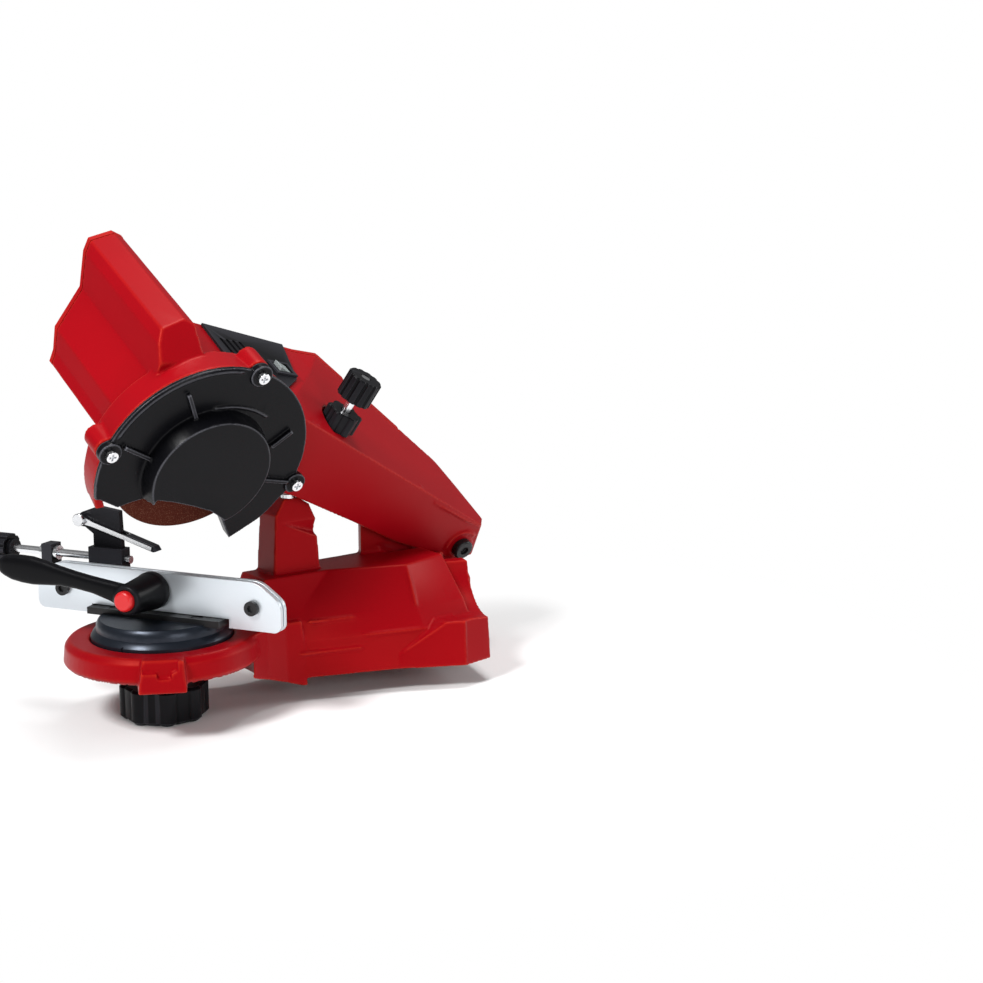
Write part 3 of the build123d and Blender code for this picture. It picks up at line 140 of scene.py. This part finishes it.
def surface(name, base, alt, rough=(0.35, 0.5), metallic=0.0, grain=900.0, grain_depth=0.00002,
            stretch=(1, 1, 1), turn=(0, 0, 0), specular=0.5, fleck=None, edge_highlight=0.0,
            edge_highlight_color=(0.5, 0.5, 0.5), tint=(1, 1, 1)):
    """A procedural finish: blotchy colour between base and alt, grainy roughness and bump, and
    optional flecks and sharp edges lightened as a painted highlight."""
    m, n, l = new_material(name)
    out = n.new("ShaderNodeOutputMaterial")
    b = n.new("ShaderNodeBsdfPrincipled")
    l.new(b.outputs["BSDF"], out.inputs["Surface"])
    b.inputs["Metallic"].default_value = metallic
    b.inputs["IOR"].default_value = IOR
    b.inputs["Specular IOR Level"].default_value = specular
    b.inputs["Specular Tint"].default_value = (*tint, 1)
    place = n.new("ShaderNodeTexCoord").outputs["Object"]
    mp = n.new("ShaderNodeMapping")
    mp.inputs["Scale"].default_value = stretch
    mp.inputs["Rotation"].default_value = turn
    l.new(place, mp.inputs["Vector"])
    big = noise(n, l, place, BLOTCH_SCALE, BLOTCH_DETAIL)
    fine = noise(n, l, mp.outputs["Vector"], grain, GRAIN_DETAIL)
    color = over(n, l, base, alt, big)
    if fleck:
        spots = noise(n, l, place, FLECK_SCALE, FLECK_DETAIL)
        color = over(n, l, color, fleck, remap(n, l, spots, From_Min=FLECK_FROM, From_Max=FLECK_TO))
    # painted highlight: the sharpest edges, found by pointiness, are lightened to stand in for light catching
    # them
    if edge_highlight:
        edges = n.new("ShaderNodeNewGeometry").outputs["Pointiness"]
        lit_edges = remap(n, l, edges, From_Min=EDGE_HIGHLIGHT_FROM, From_Max=EDGE_HIGHLIGHT_TO, To_Max=edge_highlight)
        color = over(n, l, color, edge_highlight_color, lit_edges)
    l.new(color, b.inputs["Base Color"])
    l.new(remap(n, l, fine, To_Min=rough[0], To_Max=rough[1]), b.inputs["Roughness"])
    if grain_depth:
        bump = n.new("ShaderNodeBump")
        bump.inputs["Strength"].default_value = 1.0
        bump.inputs["Distance"].default_value = grain_depth
        l.new(fine, bump.inputs["Height"])
        l.new(bump.outputs["Normal"], b.inputs["Normal"])
    return m


RED = (0.30, 0.0004, 0.005)
RED_DEEP = (0.25, 0.0003, 0.004)
# painted highlight: orange-red lightening on the sharpest edges of the red housings stands in for light
# catching them
RED_FINISH = {"grain_depth": 0.000010, "specular": 0.3, "tint": (1.0, 0.16, 0.1), "edge_highlight": 0.35,
              "edge_highlight_color": (0.62, 0.05, 0.02)}
M = {
    "red_base": surface("red_base", RED, RED_DEEP, (0.36, 0.46), grain=700, **RED_FINISH),
    "red_shell": surface("red_shell", RED, RED_DEEP, (0.36, 0.46), grain=1600, **RED_FINISH),
    "red_cap": surface("red_cap", (0.62, 0.012, 0.012), (0.5, 0.006, 0.01), (0.3, 0.4), grain=1500),
    # painted highlight: slightly grey sharp edges on the black plastic stand in for light catching them
    "black_plastic": surface("black_plastic", (0.0025, 0.0025, 0.003), (0.005, 0.005, 0.006), (0.26, 0.36),
                             grain=2600, grain_depth=0.000006, specular=0.08, edge_highlight=0.5,
                             edge_highlight_color=(0.05, 0.05, 0.06)),
    # painted highlight: strongly grey sharp edges on the cover stand in for the light catching its rim and
    # ribs
    "cover_plastic": surface("cover_plastic", (0.0022, 0.0022, 0.003), (0.004, 0.004, 0.0055), (0.24, 0.34),
                             grain=2600, grain_depth=0.000004, specular=0.1, edge_highlight=0.9,
                             edge_highlight_color=(0.14, 0.14, 0.16)),
    "black_rubber": surface("black_rubber", (0.015, 0.015, 0.015), (0.022, 0.022, 0.022), (0.6, 0.75),
                            grain=1500),
    "black_plate": surface("black_plate", (0.012, 0.012, 0.013), (0.02, 0.02, 0.021), (0.3, 0.45),
                           metallic=0.4, grain=1200),
    "grey_plastic": surface("grey_plastic", (0.25, 0.28, 0.28), (0.2, 0.23, 0.23), (0.4, 0.5), grain=2000),
    "blue_black": surface("blue_black", (0.02, 0.026, 0.038), (0.013, 0.017, 0.026), (0.26, 0.38),
                          metallic=0.6),
    "rail_steel": surface("rail_steel", (0.74, 0.79, 0.83), (0.66, 0.71, 0.76), (0.3, 0.42), metallic=0.72,
                          grain=260, grain_depth=0.000001, stretch=(9, 1, 9), turn=(0, 0, RAIL_TURN)),
    "bright_steel": surface("bright_steel", (0.78, 0.79, 0.81), (0.68, 0.69, 0.71), (0.2, 0.28), metallic=1.0,
                            grain=200, grain_depth=0),
    "core_steel": surface("core_steel", (0.2, 0.2, 0.21), (0.15, 0.15, 0.16), (0.45, 0.6), metallic=0.8),
    "brass_insert": surface("brass_insert", (0.6, 0.42, 0.16), (0.5, 0.34, 0.12), (0.28, 0.42), metallic=1.0),
    "bronze": surface("bronze", (0.5, 0.3, 0.14), (0.4, 0.24, 0.1), (0.4, 0.55), metallic=1.0,
                      fleck=(0.2, 0.12, 0.05)),
    "copper": surface("copper", (0.55, 0.22, 0.1), (0.45, 0.16, 0.07), (0.3, 0.45), metallic=1.0),
    "carbon": surface("carbon", (0.02, 0.02, 0.02), (0.03, 0.03, 0.03), (0.6, 0.75)),
    "abrasive": surface("abrasive", (0.075, 0.014, 0.007), (0.055, 0.01, 0.006), (0.8, 0.95), grain=1400,
                        specular=0.1, grain_depth=0.00012, fleck=(0.13, 0.05, 0.03)),
}
slot_of = {s["node"]: s["material_slot"] for s in frame["record"]["subparts"]}


def paint(obj, material):
    """Gives the whole object one material."""
    obj.data.materials.clear()
    obj.data.materials.append(material)


for name, obj in nodes.items():
    paint(obj, M[slot_of[name]])


# ---------------------------------------------------------------- pieces with rounded edges
ROUND_SEGMENTS = 3
SHARP = radians(32)  # an edge that turns more than this is rounded
FLAT = radians(1.0)  # faces that turn less than this become one
WELD = 0.00002


def stands_for(obj, node):
    """The object takes the node's body, finish and place in the model."""
    src = nodes[node]
    paint(obj, M[slot_of[node]])
    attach(obj, src["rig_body"])
    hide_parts(node)


def soften(node, width):
    """A piece of the node's own shape with its sharp edges rounded, standing for the node."""
    mesh = nodes[node].data.copy()
    obj = bpy.data.objects.new(node + "_piece", mesh)
    bpy.context.scene.collection.objects.link(obj)
    bm = bmesh.new()
    bm.from_mesh(mesh)
    bmesh.ops.remove_doubles(bm, verts=bm.verts, dist=WELD)
    bmesh.ops.dissolve_limit(bm, angle_limit=FLAT, verts=bm.verts, edges=bm.edges)
    bm.to_mesh(mesh)
    bm.free()
    mesh.shade_smooth()
    mesh.set_sharp_from_angle(angle=SHARP)
    bev = obj.modifiers.new("round", "BEVEL")
    bev.width = width * MM
    bev.segments = ROUND_SEGMENTS
    bev.limit_method = "ANGLE"
    bev.angle_limit = SHARP
    bev.use_clamp_overlap = True
    bev.miter_outer = "MITER_ARC"
    flat = obj.modifiers.new("flat", "WEIGHTED_NORMAL")
    flat.keep_sharp = True
    stands_for(obj, node)


# how wide the rounding of each node's edges is, in millimetres
SOFT = {
    "rear_cover": 1.0, "table_lock_knob": 1.0,
    "turntable_disc": 0.6, "depth_knob": 0.8, "depth_lock_nut": 0.7, "stop_adjust_knob": 0.6,
    "fixed_rail_plate": 0.5, "moving_rail_plate": 0.5, "stop_carriage": 0.6, "stop_guide": 0.6,
    "pawl_tip": 0.5, "vent_grille": 0.35, "rail_carrier": 0.35, "cable_gland": 0.5,
    "lever_cap": 0.6, "hinge_bolt": 0.5, "hinge_nut": 0.4, "guide_screws": 0.3, "carrier_screws": 0.25,
    "cover_screws": 0.3, "rear_cover_screws": 0.3, "pawl_pivot_screw": 0.4, "switch_rocker": 0.4,
    "grinding_disc": 0.2, "depth_stop_pad": 0.4, "outer_flange": 0.3, "spindle_nut": 0.3,
}
for node, width in SOFT.items():
    soften(node, width)


# ---------------------------------------------------------------- pieces made here
OVAL_SIDES, OVAL_POWER = 28, 2.7  # a power above 2 makes the oval squarer


def add(name, bm, material, body, smooth=True):
    """An object from a bmesh, on a body and with a finish."""
    bmesh.ops.recalc_face_normals(bm, faces=bm.faces)
    mesh = bpy.data.meshes.new(name)
    bm.to_mesh(mesh)
    bm.free()
    if smooth:
        mesh.shade_smooth()
    obj = bpy.data.objects.new(name, mesh)
    bpy.context.scene.collection.objects.link(obj)
    paint(obj, M[material])
    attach(obj, body)
    return obj


def skin(bm, rings, closed=True):
    """Quads between rings of points, with flat ends, or a ring of rings when closed is False."""
    rows = [[bm.verts.new(p) for p in ring] for ring in rings]
    k = len(rings[0])
    pairs = list(zip(rows, rows[1:])) + ([] if closed else [(rows[-1], rows[0])])
    for a, b in pairs:
        for i in range(k):
            bm.faces.new((a[i], a[(i + 1) % k], b[(i + 1) % k], b[i]))
    if closed:
        bm.faces.new(rows[0][::-1])
        bm.faces.new(rows[-1])


def join(first, *others):
    """Joins the other objects into the first."""
    group = [first, *others]
    with bpy.context.temp_override(active_object=first, object=first, selected_editable_objects=group,
                                   selected_objects=group):
        bpy.ops.object.join()


def oval(a, b):
    """Places round a squarish oval with half widths a and b."""
    points = []
    for i in range(OVAL_SIDES):
        c, s = cos(tau * i / OVAL_SIDES), sin(tau * i / OVAL_SIDES)
        points.append((a * abs(c) ** (2 / OVAL_POWER) * (1 if c > 0 else -1),
                       b * abs(s) ** (2 / OVAL_POWER) * (1 if s > 0 else -1)))
    return points


def remeshed(obj, voxel, smooth, keep):
    """Fuses the shells of obj, rounds the joins between them and thins the mesh."""
    m = obj.modifiers.new("fuse", "REMESH")
    m.mode = "VOXEL"
    m.voxel_size = voxel * MM
    m.use_smooth_shade = True
    m = obj.modifiers.new("round", "SMOOTH")
    m.factor = 0.5
    m.iterations = smooth
    m = obj.modifiers.new("thin", "DECIMATE")
    m.ratio = keep
    graph = bpy.context.evaluated_depsgraph_get()
    graph.update()
    mesh = bpy.data.meshes.new_from_object(obj.evaluated_get(graph))
    obj.modifiers.clear()
    obj.data = mesh
    mesh.shade_smooth()


# the clamp lever: an arm of changing oval section, and a conical hub round the bolt
ARM_OUTWARD = 31.2
HUB_D, HUB_Z, HUB_SIDES = -2, 67, 64
# along the rail, up, half height, half width
LEVER_ARM = (
    (-97.6, 80.2, 2.2, 1.6), (-96.6, 80.3, 4.6, 2.9), (-93.5, 80.4, 6.6, 3.6), (-88, 79.8, 8.2, 3.9),
    (-80, 79.2, 8.9, 4.0), (-72, 78.8, 9.0, 4.0), (-63, 78.2, 7.9, 3.8), (-52, 77.2, 6.2, 3.7),
    (-40, 75.6, 5.4, 3.7), (-28, 73.8, 5.3, 3.7), (-16, 71.4, 6.2, 3.7), (-6, 68.8, 7.6, 3.7),
    (0, 67.4, 8.2, 3.7), (3.5, 67, 6.5, 3.4),
)
# radius, outward
HUB = ((6.45, 4.2), (11.2, 4.2), (12, 5), (12, 9.4), (11.6, 10.4), (9.6, 33.4), (9.0, 35.2), (8.0, 35.9),
       (6.45, 35.9))
bm = bmesh.new()
skin(bm, [[rail(d, z + y, ARM_OUTWARD + x) for x, y in oval(wide, high)] for d, z, high, wide in LEVER_ARM])
arm = add("lever_arm_piece", bm, "black_plastic", "lever")
bm = bmesh.new()
skin(bm, [[rail(HUB_D + r * cos(t), HUB_Z + r * sin(t), o) for r, o in HUB]
          for t in [tau * i / HUB_SIDES for i in range(HUB_SIDES)]], closed=False)
hub = add("clamp_lever_piece", bm, "black_plastic", "lever")
join(hub, arm)
remeshed(hub, 0.6, 5, 0.35)
paint(hub, M["black_plastic"])
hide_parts("clamp_lever")

COVER_FACE, HOUSING_FACE = 14.4, -2.0  # where the beads stand, out along the wheel's axis
END_FADE = 0.35  # a bead's height at its ends, as a share of the rest


def bead(name, points, height, width, material, body, base):
    """A moulded rib along points on a face: a low rounded section standing on it."""
    bm = bmesh.new()
    rings = []
    for i, p in enumerate(points):
        a = points[max(i - 1, 0)]
        b = points[min(i + 1, len(points) - 1)]
        dx, dh = b[0] - a[0], b[1] - a[1]
        size = (dx * dx + dh * dh) ** 0.5
        nx, nh = -dh / size, dx / size
        fade = END_FADE if i in (0, len(points) - 1) else 1.0
        section = [(-0.5, -0.4), (-0.5, 0.35 * fade), (-0.3, 0.85 * fade), (0, fade), (0.3, 0.85 * fade),
                   (0.5, 0.35 * fade), (0.5, -0.4)]
        rings.append([head(p[0] + nx * u * width, p[1] + nh * u * width, base + v * height)
                      for u, v in section])
    skin(bm, rings)
    return add(name, bm, material, body)


def arc_through(a, b, c, count=20):
    """Places on the circle through three places, from the first to the last."""
    (ax, ay), (bx, by), (cx, cy) = a, b, c
    d = 2 * (ax * (by - cy) + bx * (cy - ay) + cx * (ay - by))
    aa, bb, cc = ax * ax + ay * ay, bx * bx + by * by, cx * cx + cy * cy
    ux = (aa * (by - cy) + bb * (cy - ay) + cc * (ay - by)) / d
    uy = (aa * (cx - bx) + bb * (ax - cx) + cc * (bx - ax)) / d
    r = hypot(ax - ux, ay - uy)
    t0, t1 = atan2(ay - uy, ax - ux), atan2(cy - uy, cx - ux)
    return [(ux + r * cos(t0 + (t1 - t0) * i / count), uy + r * sin(t0 + (t1 - t0) * i / count))
            for i in range(count + 1)]


def circle(x, h, radius, angles):
    """Places on a circle on the head, at angles in degrees."""
    return [(x + radius * cos(radians(a)), h + radius * sin(radians(a))) for a in angles]


CAST_KEEP = 0.25  # share of the faces kept
RIDGE_SIDES = 10
LEAN = Vector((0.3, 0.2, 0.9))  # any direction that no ridge runs along


def cast(node, voxel, smooth, extras):
    """The node's shape with every edge rounded and the extras grown into it, standing for the node."""
    obj = bpy.data.objects.new(node + "_piece", nodes[node].data.copy())
    bpy.context.scene.collection.objects.link(obj)
    join(obj, *extras)
    remeshed(obj, voxel, smooth, CAST_KEEP)
    stands_for(obj, node)


def ridge(name, points, radius, material, body):
    """A rounded crease along places in the frame, in millimetres, half sunk in the face under it."""
    bm = bmesh.new()
    rings = []
    for i, p in enumerate(points):
        here = Vector(p)
        way = (Vector(points[min(i + 1, len(points) - 1)]) - Vector(points[max(i - 1, 0)])).normalized()
        side = way.cross(LEAN).normalized()
        up = side.cross(way)
        size = radius * (0.5 if i in (0, len(points) - 1) else 1.0)
        turns = [tau * k / RIDGE_SIDES for k in range(RIDGE_SIDES)]
        rings.append([(here + (side * cos(t) + up * sin(t)) * size) * MM for t in turns])
    skin(bm, rings)
    return add(name, bm, material, body)


def steps(a, b, count=6):
    """Places along a straight line, both ends included."""
    return [tuple(u + (v - u) * i / count for u, v in zip(a, b)) for i in range(count + 1)]


rib = bead("cover_arc_rib", arc_through((-3.6, 41.6), (20.1, 39.8), (35.7, 31.6)), 1.6, 2.0,
           "cover_plastic", "head", COVER_FACE)
rim = bead("cover_rim", circle(0, 0, 67, range(157, 76, -3)), 1.6, 2.4, "cover_plastic", "head", COVER_FACE)
cast("wheel_cover", 0.55, 3, [rib, rim])
CREASES = (
    ("wall_crease", steps((-56, -27.6, 36.2), (-38.8, -28.5, 35.4))
     + steps((-36, -29.2, 35.4), (-21.3, -32.5, 35.4)), 1.1),
    ("plinth_crease", steps((-19.9, -38.4, 24.2), (24.0, -50.4, 24.2)), 1.1),
    ("neck_crease", steps((-63.5, -28.4, 16.0), (-42.2, -33.2, 16.1))
     + steps((-40, -33.9, 16.1), (-20.1, -39.7, 16.4)), 1.1),
    ("corner_crease", steps((23, -27.2, 62), (21.2, -40.6, 38)), 1.2),
)
cast("base_housing", 0.9, 4,
     [ridge(name, line, radius, "red_base", "base") for name, line, radius in CREASES])
ARM_RIDGE = [(201.7, -68.7), (213, -75.6), (224.6, -82.5), (237, -90), (249.8, -97.2)]
cast("head_housing", 0.9, 4, [
    bead("arm_ridge", ARM_RIDGE, 1.4, 2.0, "red_shell", "head", HOUSING_FACE),
    bead("ear_ridge", circle(238, -113, 12.4, range(184, 30, -10)), 1.6, 2.6, "red_shell", "head",
         HOUSING_FACE),
])


# the pawl: two narrow strips from the pivot to the tip
PAWL_PIVOT, PAWL_END = (-62.0, 105.0), (-9.5, 90.1)  # along the rail, up
EYE_RADIUS, EYE_REACH = 3.1, 9  # the round end about the pivot, and how far the strip takes to narrow
STRIP_THICK = 1.2


def pawl_strip(near):
    """One strip of the pawl, its outer face at near."""
    way = Vector((PAWL_END[0] - PAWL_PIVOT[0], PAWL_END[1] - PAWL_PIVOT[1])).normalized()
    start = atan2(way.y, way.x)
    outline = [(PAWL_PIVOT[0] + EYE_RADIUS * cos(start + a), PAWL_PIVOT[1] + EYE_RADIUS * sin(start + a))
               for a in [radians(50 + 26 * i) for i in range(11)]]
    neck = (PAWL_PIVOT[0] + way.x * EYE_REACH, PAWL_PIVOT[1] + way.y * EYE_REACH)
    for (d, z), half in ((neck, -1.5), (PAWL_END, -1.2), (PAWL_END, 1.2), (neck, 1.5)):
        outline.append((d - way.y * half, z + way.x * half))
    bm = bmesh.new()
    skin(bm, [[rail(d, z, o) for d, z in outline] for o in (near, near - STRIP_THICK)])
    return add("chain_pawl_strip_%d" % abs(round(near)), bm, "bright_steel", "pawl", smooth=False)


strips = [pawl_strip(near) for near in (-5.3, -12.6)]
join(*strips)
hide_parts("chain_pawl")

# ---------------------------------------------------------------- floor, light and camera
# The floor takes the object's shadow nearby and is plain white further off for the camera.
FLOOR_GREY = (0.86, 0.86, 0.86, 1)
WHITE = (1, 1, 1, 1)
SHADOW_TO, WHITE_FROM = 0.14, 0.42  # distances from the middle
FLOOR_HALF, FLOOR_GAP = 6, 0.0005
WORLD_LIGHT = 0.2
floor_mat, n, l = new_material("floor")
out = n.new("ShaderNodeOutputMaterial")
diffuse = n.new("ShaderNodeBsdfDiffuse")
diffuse.inputs["Color"].default_value = FLOOR_GREY
plain = n.new("ShaderNodeEmission")
plain.inputs["Color"].default_value = WHITE
plain.inputs["Strength"].default_value = 1.0
where = n.new("ShaderNodeTexCoord")
far = n.new("ShaderNodeVectorMath")
far.operation = "LENGTH"
l.new(where.outputs["Object"], far.inputs[0])
edge = n.new("ShaderNodeMapRange")
edge.interpolation_type = "SMOOTHSTEP"
edge.inputs["From Min"].default_value = SHADOW_TO
edge.inputs["From Max"].default_value = WHITE_FROM
l.new(far.outputs["Value"], edge.inputs["Value"])
seen = n.new("ShaderNodeLightPath")
both = n.new("ShaderNodeMath")
both.operation = "MULTIPLY"
l.new(edge.outputs["Result"], both.inputs[0])
l.new(seen.outputs["Is Camera Ray"], both.inputs[1])
blend = n.new("ShaderNodeMixShader")
l.new(both.outputs["Value"], blend.inputs["Fac"])
l.new(diffuse.outputs["BSDF"], blend.inputs[1])
l.new(plain.outputs["Emission"], blend.inputs[2])
l.new(blend.outputs["Shader"], out.inputs["Surface"])
floor_mesh = bpy.data.meshes.new("floor")
floor_z = cad_low.z - FLOOR_GAP
corners = ((-1, -1), (1, -1), (1, 1), (-1, 1))
floor_mesh.from_pydata([(x * FLOOR_HALF, y * FLOOR_HALF, floor_z) for x, y in corners], [], [(0, 1, 2, 3)])
floor = bpy.data.objects.new("floor", floor_mesh)
bpy.context.scene.collection.objects.link(floor)
paint(floor, floor_mat)

world = bpy.data.worlds.new("studio")
bpy.context.scene.world = world
world.use_nodes = True
n, l = world.node_tree.nodes, world.node_tree.links
n.clear()
out = n.new("ShaderNodeOutputWorld")
soft = n.new("ShaderNodeBackground")
soft.inputs["Color"].default_value = WHITE
soft.inputs["Strength"].default_value = WORLD_LIGHT
white = n.new("ShaderNodeBackground")
white.inputs["Color"].default_value = WHITE
white.inputs["Strength"].default_value = 1.0
lp = n.new("ShaderNodeLightPath")
mix = n.new("ShaderNodeMixShader")
l.new(lp.outputs["Is Camera Ray"], mix.inputs["Fac"])
l.new(soft.outputs["Background"], mix.inputs[1])
l.new(white.outputs["Background"], mix.inputs[2])
l.new(mix.outputs["Shader"], out.inputs["Surface"])


MIDDLE = Vector((0, 0, 0.11))


def area_light(name, place, size, power):
    """A square lamp that points at the middle of the object."""
    data = bpy.data.lights.new(name, "AREA")
    data.energy = power
    data.size = size
    obj = bpy.data.objects.new(name, data)
    bpy.context.scene.collection.objects.link(obj)
    obj.location = place
    obj.rotation_euler = (MIDDLE - Vector(place)).to_track_quat("-Z", "Y").to_euler()


area_light("key", (-1.1, -0.3, 1.15), 0.35, 22)
area_light("top", (0.15, -0.05, 1.5), 0.5, 13)
area_light("front", (-0.1, -1.6, 0.45), 0.7, 7)
area_light("side", (1.3, -0.5, 0.6), 0.5, 6)

SENSOR = 36
FOCAL_PIXELS, FRAME_PIXELS = 1791.7, 983
EYE = Vector((-0.64196, -0.99034, 0.33766))
RIGHT = Vector((0.7943, -0.6075, 0)).normalized()
BACK = Vector((-0.5966, -0.7801, 0.1886)).normalized()
UP = BACK.cross(RIGHT).normalized()
cam_data = bpy.data.cameras.new("camera")
cam_data.sensor_width = SENSOR
cam_data.lens = SENSOR * FOCAL_PIXELS / FRAME_PIXELS
cam_data.clip_end = 20
camera = bpy.data.objects.new("camera", cam_data)
bpy.context.scene.collection.objects.link(camera)
turn = Matrix((RIGHT, UP, BACK)).transposed().to_4x4()
camera.matrix_world = Matrix.Translation(EYE) @ turn
bpy.context.scene.camera = camera
bpy.context.scene.view_settings.view_transform = "Standard"
